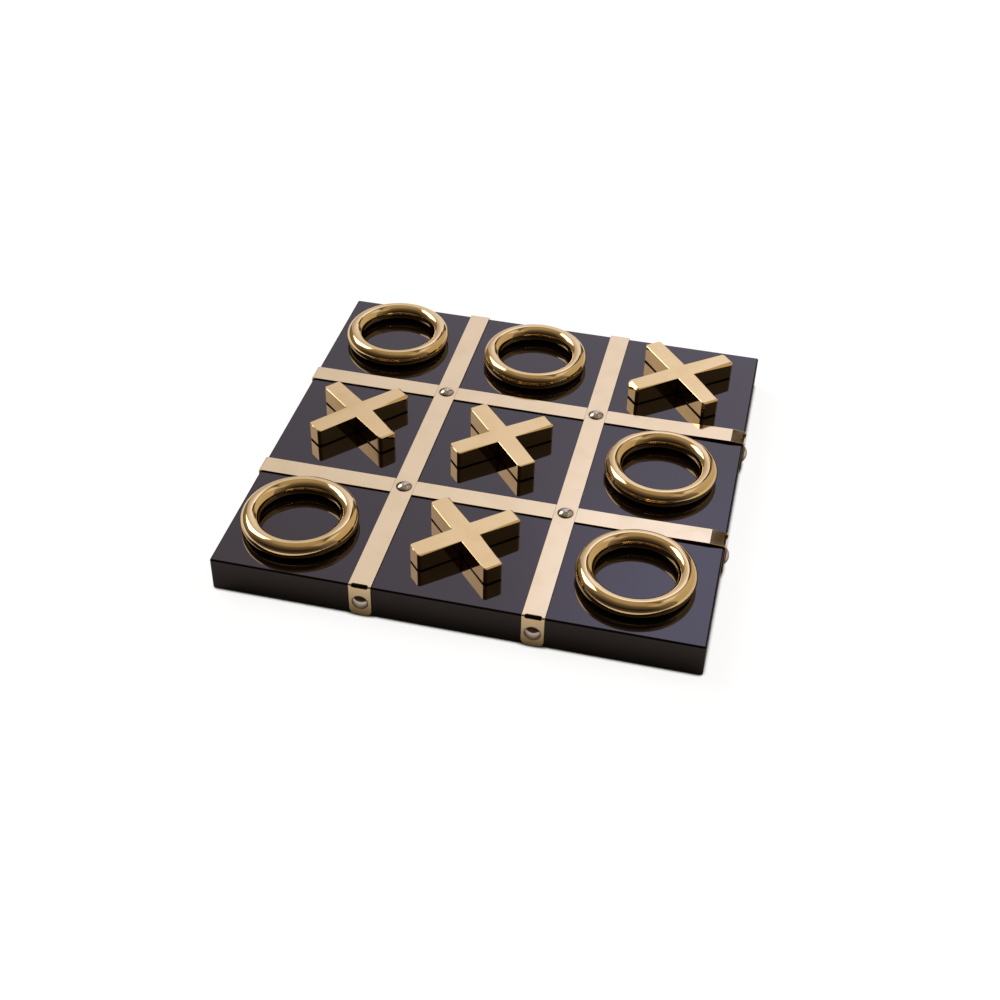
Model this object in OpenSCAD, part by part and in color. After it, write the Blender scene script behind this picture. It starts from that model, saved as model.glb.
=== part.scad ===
// Tic-tac-toe board with brass rings and crosses
// A black lacquered panel carries four brass straps that cross on its top and fold down over its
// four sides. Domed rivets hold the straps, and nine solid brass pieces lie loose in the cells.
// Millimetres, +Z up, +Y to the back. The origin is the centre of the underside.

/* [Panel] */
// Width of the panel, left to right
panel_x = 305; // [290:1:400]
// Depth of the panel, front to back
panel_y = 305; // [290:1:400]
// Thickness of the lacquered panel
panel_t = 22.8; // [20:0.1:36]
// Rounding of the panel's upright corners
panel_corner_r = 1.2; // [0.8:0.1:4]
// Rounding of the panel's top and bottom edges
panel_edge_r = 1; // [0.8:0.1:2]
// Thickness of the felt under the panel
felt_t = 0.8; // [0.5:0.1:3]
// Distance from the felt's edge to the panel's side
felt_inset = 5; // [2:0.5:20]

/* [Straps] */
// Width of the brass straps
strap_w = 14; // [11:0.1:18]
// Thickness of the brass straps
strap_t = 1; // [0.8:0.1:1.6]
// Rounding of a strap's long outer edges
strap_edge_r = 0.4; // [0.2:0.05:0.6]
// Distance between the centre lines of the two column straps
column_pitch = 106.7; // [100:0.1:112]
// Distance of the pair of column straps from the middle of the panel
column_shift = -3.3; // [-5:0.1:5]
// Distance between the centre lines of the two row straps
row_pitch = 108; // [100:0.1:112]
// Distance of the pair of row straps from the middle of the panel
row_shift = -2; // [-5:0.1:5]
// Side clearance of the half-lap joints where the straps cross
lap_gap = 0.05; // [0.02:0.01:0.2]

/* [Folded ends] */
// Inside radius of a strap's fold over the panel's edge
fold_r = 0.6; // [0.3:0.1:0.8]
// Height of a folded end's tip above the table
tip_lift = 0.6; // [0.2:0.1:3]
// Rounding of the two corners at a folded end's tip
tip_corner_r = 4.6; // [2:0.1:5.4]
// Length of the slot that eases the fold
slot_l = 10.6; // [5:0.1:10.8]
// Width of the slot that eases the fold
slot_w = 2.6; // [1.6:0.1:3]

/* [Rivets] */
// Diameter of a rivet's domed head
head_d = 9.9; // [7:0.1:10.8]
// Height of a rivet's head
head_h = 2.4; // [1.5:0.1:3]
// Height of the upright rim under the dome
head_rim = 0.3; // [0.1:0.05:0.6]
// Diameter of a rivet's shank
shank_d = 3.2; // [2:0.1:5]
// Length of a rivet's shank inside the panel
shank_l = 9; // [5:0.5:14]
// Clearance round a shank, and under its end
shank_gap = 0.05; // [0.02:0.01:0.2]
// Distance of the side rivets below the panel's top
rivet_drop = 12.5; // [9:0.1:14]

/* [Rings] */
// Outside diameter of a ring
ring_d = 74.2; // [60:0.1:78]
// Diameter of a ring's round section
ring_bar_d = 11.8; // [8:0.1:16]
// Height of the narrow flat that a ring lies on
ring_flat = 0.2; // [0.1:0.05:0.6]

/* [Crosses] */
// Length of the arms of a cross, tip to tip
cross_span = 71.6; // [55:0.1:78]
// Length of the arms of the cross at the back right, tip to tip
long_span = 79.4; // [55:0.1:84]
// Width of a cross's bars
cross_w = 12.7; // [8:0.1:18]
// Height of a cross
cross_h = 13; // [8:0.1:18]
// Rounding of the upright corners at the tips
cross_tip_r = 1.6; // [0.8:0.1:3]
// Rounding of the top edges
cross_top_r = 0.6; // [0.3:0.1:0.7]
// Rounding of the bottom edges
cross_foot_r = 1.2; // [0.8:0.1:2]

/* [Where the rings lie] */
// Place of the back left ring in its cell, right and back of the cell's middle
ring_back_left_at = [0.2, 1.5]; // [-3:0.1:3]
// Place of the back middle ring in its cell
ring_back_middle_at = [-1.2, -1]; // [-3:0.1:3]
// Place of the middle right ring in its cell
ring_middle_right_at = [-2.1, 1.1]; // [-3:0.1:3]
// Place of the front left ring in its cell
ring_front_left_at = [-1.5, 1.3]; // [-3:0.1:3]
// Place of the front right ring in its cell
ring_front_right_at = [-1.6, 2.5]; // [-3:0.1:3]

/* [Where the crosses lie] */
// Place of the back right cross in its cell, right and back of the cell's middle
cross_back_right_at = [-3.5, -3.5]; // [-4:0.1:4]
// Place of the middle left cross in its cell
cross_middle_left_at = [3.7, 4.2]; // [-5:0.1:5]
// Place of the centre cross in its cell
cross_centre_at = [-1.1, 1.4]; // [-5:0.1:5]
// Place of the front middle cross in its cell
cross_front_middle_at = [-0.3, 5]; // [-5:0.1:5]
// Turn of the back right cross from the panel's sides
cross_back_right_turn = 39.1; // [30:0.1:60]
// Turn of the middle left cross from the panel's sides
cross_middle_left_turn = 49.3; // [30:0.1:60]
// Turn of the centre cross from the panel's sides
cross_centre_turn = 40.4; // [30:0.1:60]
// Turn of the front middle cross from the panel's sides
cross_front_middle_turn = 42.4; // [30:0.1:60]

/* [Hidden] */
$fn = 72;
lacquer = [0.05, 0.045, 0.05];
felt = [0.1, 0.1, 0.1];
brass = [0.86, 0.72, 0.5];
nickel = [0.72, 0.7, 0.66];
// How far a cut runs past the face that it opens
past = 1;

panel_top = felt_t + panel_t;
strap_top = panel_top + strap_t;
half_x = panel_x / 2;
half_y = panel_y / 2;
lap_w = strap_w + 2 * lap_gap;
tip_drop = panel_top - tip_lift;
slot_angle = 45;

column_x = [column_shift - column_pitch / 2, column_shift + column_pitch / 2];
row_y = [row_shift - row_pitch / 2, row_shift + row_pitch / 2];

// Middle of an outer cell, between the panel's side and the near edge of the strap
function outer_middle(half, line) = (sign(line) * (half + strap_w / 2) + line) / 2;
left_x = outer_middle(half_x, column_x[0]);
middle_x = column_shift;
right_x = outer_middle(half_x, column_x[1]);
front_y = outer_middle(half_y, row_y[0]);
middle_y = row_shift;
back_y = outer_middle(half_y, row_y[1]);

// Sphere radius of the dome that meets the rim
head_r = head_d / 2;
dome_h = head_h - head_rim;
dome_r = (head_r * head_r + dome_h * dome_h) / (2 * dome_h);

// Outline of a block seen from the side, with its own rounding above and below
module eased_outline(w, h, top_r, foot_r) {
    translate([-w / 2, foot_r])
        square([w, h - top_r - foot_r]);
    translate([-w / 2 + top_r, h - 2 * top_r])
        square([w - 2 * top_r, 2 * top_r]);
    translate([-w / 2 + foot_r, 0])
        square([w - 2 * foot_r, 2 * foot_r]);
    for (side = [-1, 1]) {
        translate([side * (w / 2 - top_r), h - top_r])
            circle(r = top_r);
        translate([side * (w / 2 - foot_r), foot_r])
            circle(r = foot_r);
    }
}

// Block with rounded upright corners and rounded top and bottom edges, standing on z = 0
module eased_block(x, y, h, corner_r, top_r, foot_r) {
    intersection() {
        translate([0, -y / 2, 0])
            linear_extrude(h)
                eased_outline(x, y, corner_r, corner_r);
        translate([0, y / 2, 0])
            rotate([90, 0, 0])
                linear_extrude(y)
                    eased_outline(x, h, top_r, foot_r);
        translate([-x / 2, 0, 0])
            rotate([90, 0, 90])
                linear_extrude(x)
                    eased_outline(y, h, top_r, foot_r);
    }
}

// Section of a strap: width along X, thickness up, its two outer edges rounded
module strap_section() {
    translate([-strap_w / 2, 0])
        square([strap_w, strap_t - strap_edge_r]);
    translate([strap_edge_r - strap_w / 2, 0])
        square([strap_w - 2 * strap_edge_r, strap_t]);
    for (side = [-1, 1])
        translate([side * (strap_w / 2 - strap_edge_r), strap_t - strap_edge_r])
            circle(r = strap_edge_r);
}

// Outline of a folded end, its tip at y = 0 and its sides upward
module tip_outline(h) {
    translate([-strap_w / 2, tip_corner_r])
        square([strap_w, h - tip_corner_r]);
    translate([tip_corner_r - strap_w / 2, 0])
        square([strap_w - 2 * tip_corner_r, 2 * tip_corner_r]);
    for (side = [-1, 1])
        translate([side * (strap_w / 2 - tip_corner_r), tip_corner_r])
            circle(r = tip_corner_r);
}

// Slot across a fold, cut square to the fold's middle
module fold_slot() {
    straight = slot_l - slot_w;
    translate([-fold_r, 0, -fold_r])
        rotate([0, slot_angle, 0])
            linear_extrude(fold_r + strap_t + past)
                union() {
                    square([slot_w, straight], center = true);
                    for (side = [-1, 1])
                        translate([0, side * straight / 2])
                            circle(d = slot_w);
                }
}

// Fold and hanging end of a strap, in a frame with its origin at the panel's top edge,
// +X pointing out over that edge
module folded_end() {
    difference() {
        union() {
            translate([-fold_r, 0, -fold_r])
                rotate([90, 0, 180])
                    mirror([1, 0, 0])
                        rotate_extrude(angle = 90)
                            translate([fold_r, 0])
                                rotate(-90)
                                    strap_section();
            intersection() {
                translate([0, 0, -tip_drop])
                    linear_extrude(tip_drop - fold_r)
                        rotate(-90)
                            strap_section();
                translate([-past, 0, -tip_drop])
                    rotate([90, 0, 90])
                        linear_extrude(strap_t + 2 * past)
                            tip_outline(tip_drop);
            }
        }
        fold_slot();
        translate([-past, 0, -rivet_drop])
            rotate([0, 90, 0])
                cylinder(d = shank_d + 2 * shank_gap, h = strap_t + 2 * past);
    }
}

// Strap along X with both ends folded down, its underside at z = 0
module strap(panel_l) {
    run = panel_l - 2 * fold_r;
    translate([-run / 2, 0, 0])
        rotate([90, 0, 90])
            linear_extrude(run)
                strap_section();
    for (turn = [0, 180])
        rotate(turn)
            translate([panel_l / 2, 0, 0])
                folded_end();
}

// Strap along X with its rivet holes and the laps for the straps that it crosses
module lapped_strap(panel_l, crossings, lap_z) {
    difference() {
        strap(panel_l);
        for (x = crossings) {
            translate([x - lap_w / 2, -strap_w / 2 - past, lap_z])
                cube([lap_w, strap_w + 2 * past, strap_t / 2 + past]);
            translate([x, 0, -past])
                cylinder(d = shank_d + 2 * shank_gap, h = strap_t + 2 * past);
        }
    }
}

// Row straps run left to right and are cut away from above at the crossings
module row_strap(y) {
    translate([0, y, panel_top])
        lapped_strap(panel_x, column_x, strap_t / 2);
}

// Column straps run front to back and are cut away from below at the crossings
module column_strap(x) {
    translate([x, 0, panel_top])
        rotate(90)
            lapped_strap(panel_y, row_y, -past);
}

// Rivet with its head on z = 0 and its shank below
module rivet(shank) {
    rotate_extrude()
        intersection() {
            translate([0, head_h - dome_r])
                circle(r = dome_r);
            square([head_r, head_h]);
        }
    translate([0, 0, -shank])
        cylinder(d = shank_d, h = shank);
}

// Places the child, whose z = 0 lies on a strap, at the two side rivets of one side
module at_side(along, half, turn) {
    for (place = along)
        rotate(turn)
            translate([half + strap_t, place, panel_top - rivet_drop])
                rotate([0, 90, 0])
                    children();
}

module at_crossings() {
    for (x = column_x, y = row_y)
        translate([x, y, strap_top])
            children();
}

// Blind hole for a shank, measured from the strap's outer face
module shank_hole() {
    depth = strap_t + shank_l + shank_gap;
    translate([0, 0, -depth])
        cylinder(d = shank_d + 2 * shank_gap, h = depth);
}

module board_panel() {
    color(lacquer)
        difference() {
            translate([0, 0, felt_t])
                eased_block(panel_x, panel_y, panel_t, panel_corner_r, panel_edge_r, panel_edge_r);
            at_crossings()
                shank_hole();
            at_side(row_y, half_x, 0)
                shank_hole();
            at_side(-row_y, half_x, 180)
                shank_hole();
            at_side(-column_x, half_y, 90)
                shank_hole();
            at_side(column_x, half_y, 270)
                shank_hole();
        }
}

module base_felt() {
    color(felt)
        translate([felt_inset - half_x, felt_inset - half_y, 0])
            cube([panel_x - 2 * felt_inset, panel_y - 2 * felt_inset, felt_t]);
}

module column_strap_left() {
    color(brass)
        column_strap(column_x[0]);
}

module column_strap_right() {
    color(brass)
        column_strap(column_x[1]);
}

module row_strap_back() {
    color(brass)
        row_strap(row_y[1]);
}

module row_strap_front() {
    color(brass)
        row_strap(row_y[0]);
}

module crossing_rivets() {
    color(nickel)
        at_crossings()
            rivet(strap_t + shank_l);
}

module side_rivets(along, half, turn) {
    color(nickel)
        at_side(along, half, turn)
            rivet(strap_t + shank_l);
}

module right_rivets() {
    side_rivets(row_y, half_x, 0);
}

module left_rivets() {
    side_rivets(-row_y, half_x, 180);
}

module back_rivets() {
    side_rivets(-column_x, half_y, 90);
}

module front_rivets() {
    side_rivets(column_x, half_y, 270);
}

// Ring of round bar with a narrow flat underneath, lying in the cell centred at x, y
module ring(x, y, at) {
    bar_r = ring_bar_d / 2;
    color(brass)
        translate([x + at[0], y + at[1], panel_top])
            rotate_extrude($fn = 120)
                translate([ring_d / 2 - bar_r, bar_r - ring_flat])
                    difference() {
                        circle(r = bar_r);
                        translate([-bar_r, -bar_r - past])
                            square([2 * bar_r, ring_flat + past]);
                    }
}

// Cross of two equal bars, lying in the cell centred at x, y
module cross(x, y, at, turn, span) {
    color(brass)
        translate([x + at[0], y + at[1], panel_top])
            rotate(turn)
                for (bar = [0, 90])
                    rotate(bar)
                        eased_block(span, cross_w, cross_h, cross_tip_r, cross_top_r, cross_foot_r);
}

module ring_back_left() {
    ring(left_x, back_y, ring_back_left_at);
}

module ring_back_middle() {
    ring(middle_x, back_y, ring_back_middle_at);
}

module ring_middle_right() {
    ring(right_x, middle_y, ring_middle_right_at);
}

module ring_front_left() {
    ring(left_x, front_y, ring_front_left_at);
}

module ring_front_right() {
    ring(right_x, front_y, ring_front_right_at);
}

module cross_back_right() {
    cross(right_x, back_y, cross_back_right_at, cross_back_right_turn, long_span);
}

module cross_middle_left() {
    cross(left_x, middle_y, cross_middle_left_at, cross_middle_left_turn, cross_span);
}

module cross_centre() {
    cross(middle_x, middle_y, cross_centre_at, cross_centre_turn, cross_span);
}

module cross_front_middle() {
    cross(middle_x, front_y, cross_front_middle_at, cross_front_middle_turn, cross_span);
}

board_panel();
base_felt();
column_strap_left();
column_strap_right();
row_strap_back();
row_strap_front();
crossing_rivets();
front_rivets();
back_rivets();
left_rivets();
right_rivets();
ring_back_left();
ring_back_middle();
ring_middle_right();
ring_front_left();
ring_front_right();
cross_back_right();
cross_middle_left();
cross_centre();
cross_front_middle();
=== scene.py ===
# %% [markdown]
# # A tic-tac-toe board in black lacquer and brass
#
# The board is a thick panel with a deep black lacquer. Four flat brass straps cross on its top,
# fold down over its sides and are held by domed rivets. Five rings and four crosses of solid
# brass lie loose in the nine cells.
#
# This lesson dresses the board's measured frame with finished pieces. Each piece is drawn in
# mesh code, because a polished metal shows every fault of a surface: a stand-in cylinder or a
# cube with hard edges would give it away at once.

# %% Load the frame
import math

import bmesh
import bpy
from mathutils import Matrix, Vector, noise


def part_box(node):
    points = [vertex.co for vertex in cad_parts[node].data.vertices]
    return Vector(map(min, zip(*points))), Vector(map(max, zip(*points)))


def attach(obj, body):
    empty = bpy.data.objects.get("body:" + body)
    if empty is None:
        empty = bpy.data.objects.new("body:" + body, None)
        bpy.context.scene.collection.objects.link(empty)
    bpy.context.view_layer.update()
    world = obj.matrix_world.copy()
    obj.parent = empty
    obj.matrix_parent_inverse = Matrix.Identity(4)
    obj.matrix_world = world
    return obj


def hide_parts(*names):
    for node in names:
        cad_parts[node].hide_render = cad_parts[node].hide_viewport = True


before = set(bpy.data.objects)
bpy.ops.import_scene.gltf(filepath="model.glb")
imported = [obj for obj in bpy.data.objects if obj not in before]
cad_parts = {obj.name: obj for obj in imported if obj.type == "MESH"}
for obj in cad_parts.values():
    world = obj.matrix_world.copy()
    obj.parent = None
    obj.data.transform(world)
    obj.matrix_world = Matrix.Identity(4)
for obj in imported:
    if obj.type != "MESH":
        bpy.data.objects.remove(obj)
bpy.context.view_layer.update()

# %% [markdown]
# ## Where everything is
#
# The frame knows where each part lies, so nothing is placed by eye. A part's box gives its
# lowest and its highest corner in metres. The middle of a strap's box is the line that the
# strap follows, and the middle of a playing piece's box is the place where it lies.
#
# Lengths that a maker would think of in millimetres are written with `MM`, so that `2.6 * MM`
# reads as it would on a workshop drawing.

# %% Read the places from the frame
MM = 0.001


def middle_of(node):
    """Middle of a part's box."""
    low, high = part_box(node)
    return (low + high) / 2


panel_low, panel_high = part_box("board_panel")
half_x = panel_high.x
half_y = panel_high.y
panel_top = panel_high.z
strap_low, strap_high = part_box("row_strap_back")
strap_top = strap_high.z
strap_t = strap_top - panel_top
strap_w = strap_high.y - strap_low.y
column_lines = [middle_of(n).x for n in ("column_strap_left", "column_strap_right")]
row_lines = [middle_of(n).y for n in ("row_strap_front", "row_strap_back")]
print("panel top", round(panel_top, 5), "strap", round(strap_w, 5), "x", round(strap_t, 5))

# %% [markdown]
# ## The camera
#
# The camera stands low in front of the board and a little to its right, as a photographer does
# who wants to show both the top and the front side. A tracking quaternion turns it to the aim
# point, and a small turn about its own axis adds the slight tilt of a hand-levelled tripod.

# %% Set up the camera
camera_place = Vector((0.162765, -0.773402, 0.638132))
camera_aim = Vector((0.0065045, -0.0525831, 0.0236))
camera_tilt = math.radians(1.488)

camera_data = bpy.data.cameras.new("camera")
camera_data.lens = 53.741
camera_data.sensor_width = 36
camera_data.clip_start = 0.05
camera = bpy.data.objects.new("camera", camera_data)
bpy.context.scene.collection.objects.link(camera)
turn_to_aim = (camera_aim - camera_place).to_track_quat("-Z", "Y").to_matrix().to_4x4()
tilt = Matrix.Rotation(camera_tilt, 4, "Z")
camera.matrix_world = Matrix.Translation(camera_place) @ turn_to_aim @ tilt
bpy.context.scene.camera = camera
bpy.context.scene.view_settings.view_transform = "Standard"
print("camera is", round((camera_aim - camera_place).length, 3), "m from its aim")

# %% [markdown]
# ## Small helpers for node trees
#
# A material is a tree of nodes. Written out in full, each node takes several lines, and the
# recipe gets lost. These helpers keep one step of a recipe on one line: `put` adds a node with
# its settings, `calc` does a sum, and `blend` mixes two colours.

# %% Write the node helpers
def feed(tree, socket, value):
    """Links a socket to another one, or sets its value."""
    if isinstance(value, bpy.types.NodeSocket):
        tree.links.new(value, socket)
    else:
        socket.default_value = value


def put(tree, kind, sockets=None, **settings):
    """Adds a node, with its settings first and then what goes into its sockets."""
    node = tree.nodes.new(kind)
    for name, value in settings.items():
        setattr(node, name, value)
    for name, value in (sockets or {}).items():
        feed(tree, node.inputs[name], value)
    return node


def calc(tree, operation, *values):
    """Adds a Math node and returns its result."""
    node = put(tree, "ShaderNodeMath", dict(enumerate(values)), operation=operation)
    return node.outputs[0]


def vector_calc(tree, operation, *values):
    """Adds a Vector Math node and returns its result, a number for a dot product."""
    node = put(tree, "ShaderNodeVectorMath", dict(enumerate(values)), operation=operation)
    return node.outputs["Value" if operation == "DOT_PRODUCT" else "Vector"]


def ramp(tree, value, low, high, out_low=0.0, out_high=1.0, kind="SMOOTHSTEP"):
    """Maps a value from low..high to another range, with soft ends."""
    sockets = {"Value": value, "From Min": low, "From Max": high, "To Min": out_low, "To Max": out_high}
    return put(tree, "ShaderNodeMapRange", sockets, interpolation_type=kind).outputs["Result"]


def blend(tree, factor, first, second):
    """Mixes two colours: the first where the factor is 0, the second where it is 1."""
    mix = put(tree, "ShaderNodeMix", data_type="RGBA")
    feed(tree, mix.inputs[0], factor)
    feed(tree, mix.inputs[6], first)
    feed(tree, mix.inputs[7], second)
    return mix.outputs[2]


def new_group(name, inputs, outputs):
    """Makes a shader node group and returns its tree, its inputs and its output node."""
    tree = bpy.data.node_groups.new(name, "ShaderNodeTree")
    for label, kind, value in inputs:
        socket = tree.interface.new_socket(name=label, in_out="INPUT", socket_type=kind)
        if value is not None:
            socket.default_value = value
    for label, kind in outputs:
        tree.interface.new_socket(name=label, in_out="OUTPUT", socket_type=kind)
    return tree, tree.nodes.new("NodeGroupInput").outputs, tree.nodes.new("NodeGroupOutput")


def use(tree, group, **sockets):
    """Places a group in a tree, and returns its outputs. Socket names are written with underscores."""
    node = tree.nodes.new("ShaderNodeGroup")
    node.node_tree = group
    for name, value in sockets.items():
        feed(tree, node.inputs[name.replace("_", " ")], value)
    return node.outputs


# %% [markdown]
# ## The studio
#
# Lacquer and polished brass have hardly a colour of their own: they show what stands round
# them. So the studio is built as carefully as the board. It has a big softbox high at the back
# left, a tall pale panel behind the board, a second panel to the right, and a dark room with a
# soft ceiling. A narrow flag between the two panels, darkest at its foot, draws a line in the
# metal.
#
# Area lamps would do too. Here each card is painted on the world instead: a **card** group
# takes the direction of a ray, the direction in which the card hangs, and its half width and
# half height a metre away, and puts out a mask. One group then makes every card, and there is
# no lamp to hide from a second view.
#
# The group also puts out how far across the card a ray hits it, from -1 at its left edge to 1
# at its right edge, so that a card can change colour along its width.

# %% Build the card group
FLOAT, VECTOR = "NodeSocketFloat", "NodeSocketVector"

card_group, given, result = new_group(
    "studio card",
    [
        ("Direction", VECTOR, None),
        ("Facing", VECTOR, (0, 1, 0)),
        ("Side", VECTOR, (1, 0, 0)),
        ("Half Width", FLOAT, 0.3),
        ("Half Height", FLOAT, 0.3),
        ("Softness", FLOAT, 0.03),
    ],
    [("Mask", FLOAT), ("Across", FLOAT)],
)
ahead = vector_calc(card_group, "DOT_PRODUCT", given["Direction"], given["Facing"])
safe_ahead = calc(card_group, "MAXIMUM", ahead, 0.001)
sideways = vector_calc(card_group, "DOT_PRODUCT", given["Direction"], given["Side"])
upright = vector_calc(card_group, "CROSS_PRODUCT", given["Facing"], given["Side"])
upwards = vector_calc(card_group, "DOT_PRODUCT", given["Direction"], upright)
mask = calc(card_group, "GREATER_THAN", ahead, 0.0)
for reach, half in ((sideways, "Half Width"), (upwards, "Half Height")):
    distance = calc(card_group, "ABSOLUTE", calc(card_group, "DIVIDE", reach, safe_ahead))
    outer = calc(card_group, "ADD", given[half], given["Softness"])
    inner = calc(card_group, "SUBTRACT", given[half], given["Softness"])
    mask = calc(card_group, "MULTIPLY", mask, ramp(card_group, distance, outer, inner))
feed(card_group, result.inputs["Mask"], mask)
half_card = calc(card_group, "MULTIPLY", safe_ahead, given["Half Width"])
across = calc(card_group, "DIVIDE", sideways, half_card)
feed(card_group, result.inputs["Across"], across)
print("card group has", len(card_group.nodes), "nodes")

# %% [markdown]
# First the room. Azimuth 0 is to the right of the board, 90 behind it, 180 to its left and 270
# on the camera's side. The room is darkest low on the camera's side, where a photographer works
# in black: that is what gives the rings their dark lower halves and the crosses their nearly
# black front faces. The walls get lighter towards the back, where the big panel spills on them.

# %% Paint the room
def toward(azimuth, elevation):
    """Unit vector towards a place in the studio, from angles in degrees."""
    a, e = math.radians(azimuth), math.radians(elevation)
    return Vector((math.cos(e) * math.cos(a), math.cos(e) * math.sin(a), math.sin(e)))


studio = bpy.data.worlds.new("studio")
studio.use_nodes = True
bpy.context.scene.world = studio
sky = studio.node_tree
sky.nodes.clear()
look = put(sky, "ShaderNodeTexCoord").outputs["Generated"]
height_of_look = put(sky, "ShaderNodeSeparateXYZ", {0: look}).outputs["Z"]

to_back = vector_calc(sky, "DOT_PRODUCT", look, toward(80, 0))
lit_side = ramp(sky, to_back, -0.75, 0.15)
upper_part = ramp(sky, height_of_look, 0.4, 0.9)
near_wall = blend(sky, upper_part, (0.028, 0.018, 0.019, 1), (0.125, 0.095, 0.072, 1))
walls = blend(sky, lit_side, near_wall, (0.27, 0.22, 0.17, 1))
far_floor = blend(sky, lit_side, (0.05, 0.036, 0.024, 1), (0.16, 0.13, 0.10, 1))
walls = blend(sky, ramp(sky, height_of_look, 0.34, 0.2), walls, far_floor)
ceiling = blend(sky, ramp(sky, to_back, -0.6, 0.4), (0.37, 0.30, 0.21, 1), (0.51, 0.41, 0.27, 1))
leaning_height = calc(sky, "ADD", height_of_look, calc(sky, "MULTIPLY", to_back, 0.15))
room = blend(sky, ramp(sky, leaning_height, 0.8, 0.99), walls, ceiling)
print("azimuth 80 looks along", [round(v, 2) for v in toward(80, 0)])

# %% [markdown]
# Now the cards go up one after another, each over what hangs behind it:
#
# - the warm panel on the right, its corner towards the camera, the dark strip and the bright
#   strip over it
# - the tall panel at the back, a warm grey on its left and bluer and brighter on its right, as
#   if a window lit that end. The lacquer mirrors this panel, and its plain black turns violet.
# - a soft patch on the panel's right, which only the nearest right cells catch
# - the flag, and beside it a small black card for the sloping right ends of the row straps:
#   each of them mirrors just this card, and so turns dark while the rest of its strap is bright
# - at last the softbox, with one side cut off by a dark cloth
#
# The back panel is dimmer at its foot. The far row of cells mirrors a lower part of the panel
# than the near row, so this is also what makes the lacquer a little darker at the back.

# %% Put up the cards
def hang_card(tree, behind, azimuth, elevation, width, height, softness, left, right=None, foot=1.0):
    """Paints one card over what is behind it, from its left to its right colour, dimmer at its foot."""
    card = use(tree, card_group, Direction=look, Facing=toward(azimuth, elevation),
               Side=toward(azimuth - 90, 0), Half_Width=width, Half_Height=height, Softness=softness)
    colour = blend(tree, ramp(tree, card["Across"], -1.0, 1.0), (*left, 1), (*(right or left), 1))
    rise = ramp(tree, height_of_look, 0.05, 0.75, kind="LINEAR")
    dimming = blend(tree, rise, (foot, foot, foot, 1), (1, 1, 1, 1))
    return blend(tree, card["Mask"], behind, vector_calc(tree, "MULTIPLY", colour, dimming))


# Azimuth, elevation, half width, half height, softness, left colour, right colour, foot.
cards = {
    "right panel": (32.6, 0, 0.765, 2.1, 0.07, (0.69, 0.57, 0.45), (0.60, 0.48, 0.34)),
    "corner of the right panel": (-12, 58, 0.26, 0.2, 0.03, (0.60, 0.48, 0.34)),
    "dark strip": (45, 70, 0.33, 0.05, 0.045, (0.16, 0.12, 0.08)),
    "bright strip": (28, 60, 0.2, 0.11, 0.05, (0.88, 0.87, 0.88)),
    "back panel": (106.5, 0, 0.5, 1.42, 0.05, (0.71, 0.645, 0.67), (1.30, 1.26, 1.56), 0.66),
    "soft patch": (89, 47, 0.11, 0.135, 0.07, (1.39, 1.42, 2.0)),
    "flag": (74.5, 0, 0.1, 1.8, 0.03, (0.38, 0.29, 0.18), None, 0.03),
    "black card": (81, 38.3, 0.083, 0.095, 0.012, (0.062, 0.034, 0.0)),
    "softbox": (154.3, 45, 0.236, 0.23, 0.035, (5.8, 5.1, 4.6)),
    "dark cloth": (184, 53, 0.13, 0.15, 0.03, (0.30, 0.23, 0.16)),
}
for card in cards.values():
    room = hang_card(sky, room, *card)
print("cards:", ", ".join(cards))

# %% [markdown]
# The board stands on a pale sweep that runs up behind it and out of sight. The camera sees
# the sweep as white. Light Path tells the camera's own rays from the others, and with Is Glossy
# Ray and Is Transmission Ray added, the metal shows the pale sweep near the horizon too. On the
# camera's side the sweep ends in the dark, so there the band nearly fades out.

# %% Finish the sky
ray = put(sky, "ShaderNodeLightPath").outputs
near_horizon = ramp(sky, calc(sky, "ABSOLUTE", height_of_look), 0.05, 0.01)
near_horizon = calc(sky, "MULTIPLY", near_horizon, ramp(sky, to_back, -0.5, 0.0, 0.1, 1.0))
in_gloss = calc(sky, "ADD", ray["Is Glossy Ray"], ray["Is Transmission Ray"])
sees_sweep = calc(sky, "ADD", ray["Is Camera Ray"], calc(sky, "MULTIPLY", in_gloss, near_horizon))
seen = blend(sky, sees_sweep, room, (1, 1, 1, 1))
background = put(sky, "ShaderNodeBackground", {"Color": seen, "Strength": 1.0})
put(sky, "ShaderNodeOutputWorld", {"Surface": background.outputs[0]})
print("the studio's sky has", len(sky.nodes), "nodes")

# %% [markdown]
# The floor is a flat sheet of the same pale paper. It has two parts: a matt surface that takes
# the board's soft shadow, and a share of plain white, because without it the paper would come
# out grey under a light that is right for the brass.
#
# The camera sees the white share everywhere but in the narrow gap under the board, where an
# Ambient Occlusion node finds the paper shut in and takes the white away: a painted contact
# shadow. Polished surfaces see a share too, and it is painted light. It is stronger on the left,
# under the softbox, starts a few centimetres from the board, as a painted shadow round it, and
# fades to black where the paper runs towards the camera, where its matt colour is painted darker too.
# That is the light in the side of the panel and in the folded ends of the straps.

# %% Mix the paper
def new_material(name):
    """Makes a material with an empty node tree, and returns both."""
    material = bpy.data.materials.new(name)
    material.use_nodes = True
    material.node_tree.nodes.clear()
    return material, material.node_tree


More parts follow.
